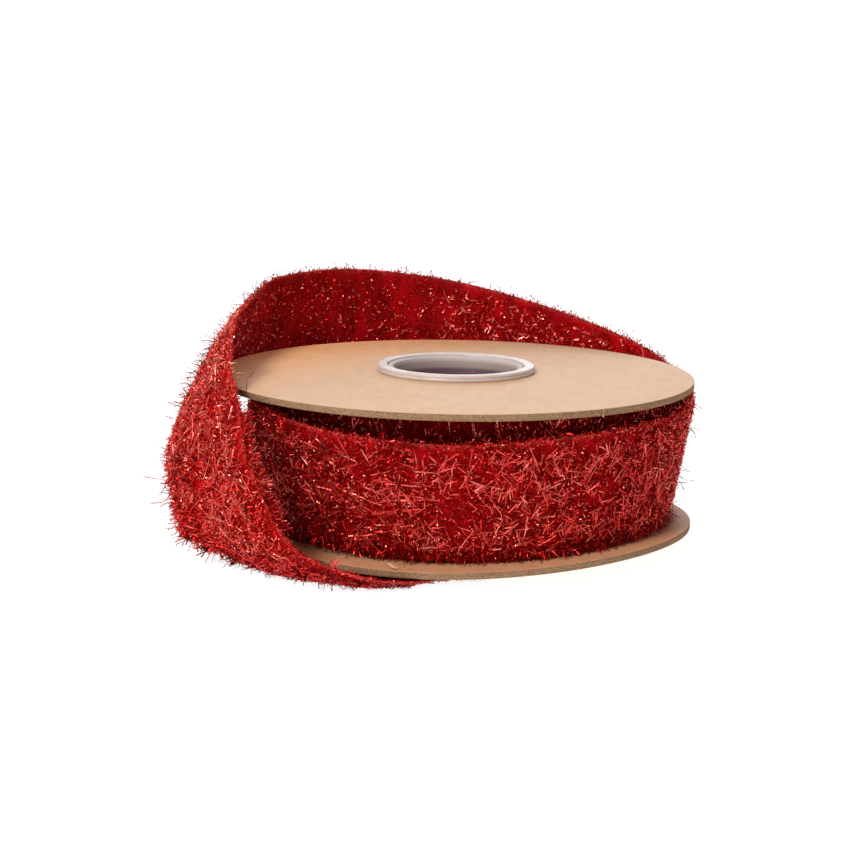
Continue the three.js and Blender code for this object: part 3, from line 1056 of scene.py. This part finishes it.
def fringe(name, seed, count, first, last):
    """Cut ends that stand out of both selvedges, and hang from the slipped turn's hem."""
    chance = np.random.default_rng(seed)
    # Some are spikes, and those on the tail's lower edge gather in clumps.
    place = chance.uniform(first, last, count)
    lower = chance.random(count) < 0.5
    spiky = chance.random(count) < np.where(lower, 0.26, 0.15)
    clumped = lower & spiky & (place > tuck_step)
    gathering = np.round(place / CLUMP_STEPS) * CLUMP_STEPS + chance.normal(0, 0.10, count)
    place = np.clip(np.where(clumped, gathering, place), first, last - 0.01)
    row = np.minimum(place.astype(int), last - 1)
    share = (place - row)[:, None]
    column = np.where(lower, 0, COLUMNS - 1)

    def between(values):
        return values[row, column] * (1 - share) + values[row + 1, column] * share

    out, along, up = (unit(between(way)) for way in (strip_normals, strip_along, strip_up))
    outward = up * np.where(lower, -1, 1)[:, None]

    # Strips of the hem start further in and splay outwards.
    hem = lower & (row < loop_start)
    crest = ~lower & (row >= loop_start)
    stray = 0.36 * chance.normal(size=(count, 3)) + along * chance.normal(0, 0.5, count)[:, None]
    stray *= np.where(clumped, 0.5, 1.0)[:, None]
    splay = hem * np.where(spiky, chance.uniform(0.6, 1.8, count), chance.uniform(0, 0.5, count))
    way = unit(outward + stray + out * splay[:, None])
    inset = np.where(hem, chance.uniform(0.3, 2.6, count), 0.5)
    lift = np.where(hem, chance.uniform(0.3, 1.3, count), chance.uniform(-0.35, 0.35, count))
    roots = between(strip_points) - outward * inset[:, None] + out * lift[:, None]

    # The hem's and the crest's spikes are longer than the ends between. The ends are painted
    # dark as shade on the hem, the tail's lower edge and the crest's back, which is lit from
    # behind, and painted pale as light elsewhere on the crest, round the fold.
    hanging, standing = np.where(spiky, 1.8, 0.5), np.where(spiky, 0.75, 0.42)
    reach = np.where(hem, hanging, np.where(crest, standing, np.where(lower, 1.0, 0.6)))
    lengths = (0.8 + chance.gamma(2.0, 0.40, count)) * pile_heights[row] * reach
    lengths[clumped] *= 1.6
    tones = tones_of(chance, count, 0.36, 0.05, 0.25)
    # Painted light pales the crest's ends past its back, and painted shade darkens the ends on
    # the hem and the tail's lower edge.
    painted_light_edge = np.where(spiky, 0.62, chance.uniform(0.55, 0.95, count))
    turned_back = step_bearings[row] < 152
    tones[crest] = np.where(turned_back, np.where(spiky, 0.12, 0.40), painted_light_edge)[crest]
    painted_shade_edge = hem | lower & (place > tuck_step)
    tones[painted_shade_edge] = np.where(spiky, 0.14, tones - 0.12)[painted_shade_edge]
    pieces = strands(
        chance, roots, way, unit(chance.normal(size=(count, 3))), np.minimum(lengths, 4.5),
        chance.uniform(0.16, 0.28, count), np.clip(tones, 0, 1), 0.30,
    )
    return joined_strips(name, pieces, place > tuck_step)


fringe("selvedge_fringe", 20, 22000, 0, tail_step)
ribbon_pile(
    "slipped_pile", 21, 0, loop_start, OUTER_FACE, (36000, 2300, 300, 0),
    middle=0.25, pale_stubs=0.46, lit=0.13,
)
ribbon_pile(
    "loop_pile_back", 22, loop_start, loop_left, OUTER_FACE, (30000, 1600, 120, 0),
    middle=0.5, lit=0.35,
)
ribbon_pile(
    "loop_pile_front", 23, loop_left, steps - 1, OUTER_FACE, (34000, 2700, 1100, 0),
    middle=0.34, pale_stubs=0.42, pale_laid=0.22, lit=0.34,
)
ribbon_pile(
    "loop_pile_inside_right", 24, loop_start - 8, loop_right, INNER_FACE,
    (15000, 60, 20, 1950), middle=0.30, height=0.6, pale_stubs=0.18, lit=0.14,
    flake_length=1.25, flake_tone=0.72, dulling=0.6,
)
ribbon_pile(
    "loop_pile_inside", 25, loop_right, tail_step, INNER_FACE, (16000, 30, 40, 900),
    middle=0.28, height=0.6, pale_stubs=0.08, lit=0.04, flake_length=0.6, flake_tone=0.73,
    dulling=0.7,
)

# Spilt pile: film of the inner face that was pushed out past the upper selvedge. It lies
# over the gap between the loop and the roll, where the loop passes down to the floor.
chance = np.random.default_rng(26)
spill_start, spill_end = np.searchsorted(step_bearings, (213.2, 230.0))
roots, _, up, _, side, *_ = spots_on_strip(chance, 30000, spill_start, spill_end, INNER_FACE)
at_selvedge = side > 0.88
roots, up = roots[at_selvedge], up[at_selvedge]
count = len(roots)
way = unit((0.9, 0.0, -0.12) + 0.35 * up + chance.normal(0, 0.48, (count, 3)))
tones = np.where(chance.random(count) < 0.4, 0.14, chance.uniform(0.35, 0.92, count))
pieces = strands(
    chance, roots, way, unit(chance.normal(size=(count, 3))), chance.uniform(1.0, 3.8, count),
    chance.uniform(0.20, 0.32, count), tones, 0.4, segments=2, bend=0.2,
)
joined_strips("spilt_pile", pieces, np.full(2 * count, False))

# Stray fibres that cling to the roll: shreds of liner at the cards' edges, straw-coloured
# ends and a dark hair beside the upper card, wisps of film between the loop and the roll, a
# burr on the tail, and dark tufts where the tail is pressed on the floor.
fibres = np.random.default_rng(31)


def stray_fibres(name, spots, lengths, width, tone, bend, material=tinsel.material, under=False):
    """Fibres from (x, y, z) spots, each with a heading and a steepness in degrees."""
    spots = np.array(spots, float)
    roots, heading, steepness = spots[:, :3], *np.radians(spots[:, 3:]).T
    level = np.stack((np.cos(heading), np.sin(heading), 0 * heading), axis=1)
    way = level * np.cos(steepness)[:, None] + np.array((0, 0, 1)) * np.sin(steepness)[:, None]
    pieces = strands(
        fibres, roots, way, unit(roots * (1, 1, 0)), np.array(lengths),
        np.full(len(roots), width), np.full(len(roots), tone), 0.5, segments=3, bend=bend,
    )
    return joined_strips(name, pieces, np.full(3 * len(roots), under), material=material)


stray_fibres(
    "card_shreds",
    (
        (34.7, -53.8, 40.6, -57, 88),
        (-14.6, -61.4, 4.6, 150, 25),
        (-14.4, -61.2, 4.6, 5, 4),
    ),
    (3.0, 2.6, 3.2), width=0.52, tone=1.0, bend=0.12, material=liner.material,
)
stray_fibres(
    "straw_ends",
    (
        (-56.4, -36.6, 49.6, 0, 10),
        (-56.4, -37.2, 48.2, 0, 25),
        (-56.2, -37.8, 46.8, 0, 18),
        (-56.2, -37.6, 47.2, 0, 4),
    ),
    (1.7, 1.4, 2.6, 3.6), width=0.36, tone=1.0, bend=0.05, material=liner.material,
)
stray_fibres(
    "dark_hair", ((-52.5, -37.4, 41.0, 0, 87), (-52.4, -37.4, 45.7, 0, 46)), (4.9, 2.6),
    width=0.17, tone=0.08, bend=0.02,
)
stray_fibres(
    "film_wisps",
    (
        (-52.4, -45.2, 41.4, 20, 10),
        (-52.3, -45.6, 40.6, 0, -30),
        (-52.1, -46.0, 39.8, 30, -50),
        (-52.4, -45.4, 40.8, -20, -60),
        (-52.2, -45.6, 40.2, 60, 20),
    ),
    (2.4, 2.8, 2.8, 2.6, 2.4), width=0.2, tone=0.0, bend=0.5,
)

BURR_FIBRES = 16
GOLDEN_ANGLE = 137.5
burr = [(-28.6, -71.0, 7.4, GOLDEN_ANGLE * n, 5 + 5 * n) for n in range(BURR_FIBRES)]
stray_fibres("burr_on_tail", burr, [2.1] * BURR_FIBRES, width=0.3, tone=0.84, bend=0.12)

# The bearing and the strip's column of each tuft, on the tail's lowest line.
TUFTS = (
    (221, 0), (224, 0), (227.4, 0), (230.5, 2), (232, 3), (234, 4), (237.5, 5), (241.5, 7),
    (244.5, 9), (248.5, 10), (251, 11),
)
TUFT_FIBRES = 13
tufts, tuft_lengths = [], []
for bearing, column in TUFTS:
    row = int(np.searchsorted(step_bearings, bearing))
    root = strip_points[row, column] + 0.6 * strip_normals[row, column]
    for _ in range(TUFT_FIBRES):
        heading, steepness = fibres.uniform(185, 275), fibres.uniform(-25, 10)
        tufts.append((*(root + fibres.normal(0, 0.35, 3)), heading, steepness))
        tuft_lengths.append(fibres.uniform(1.6, 4.8))
stray_fibres("tail_tufts", tufts, tuft_lengths, width=0.34, tone=0.17, bend=0.15, under=True)
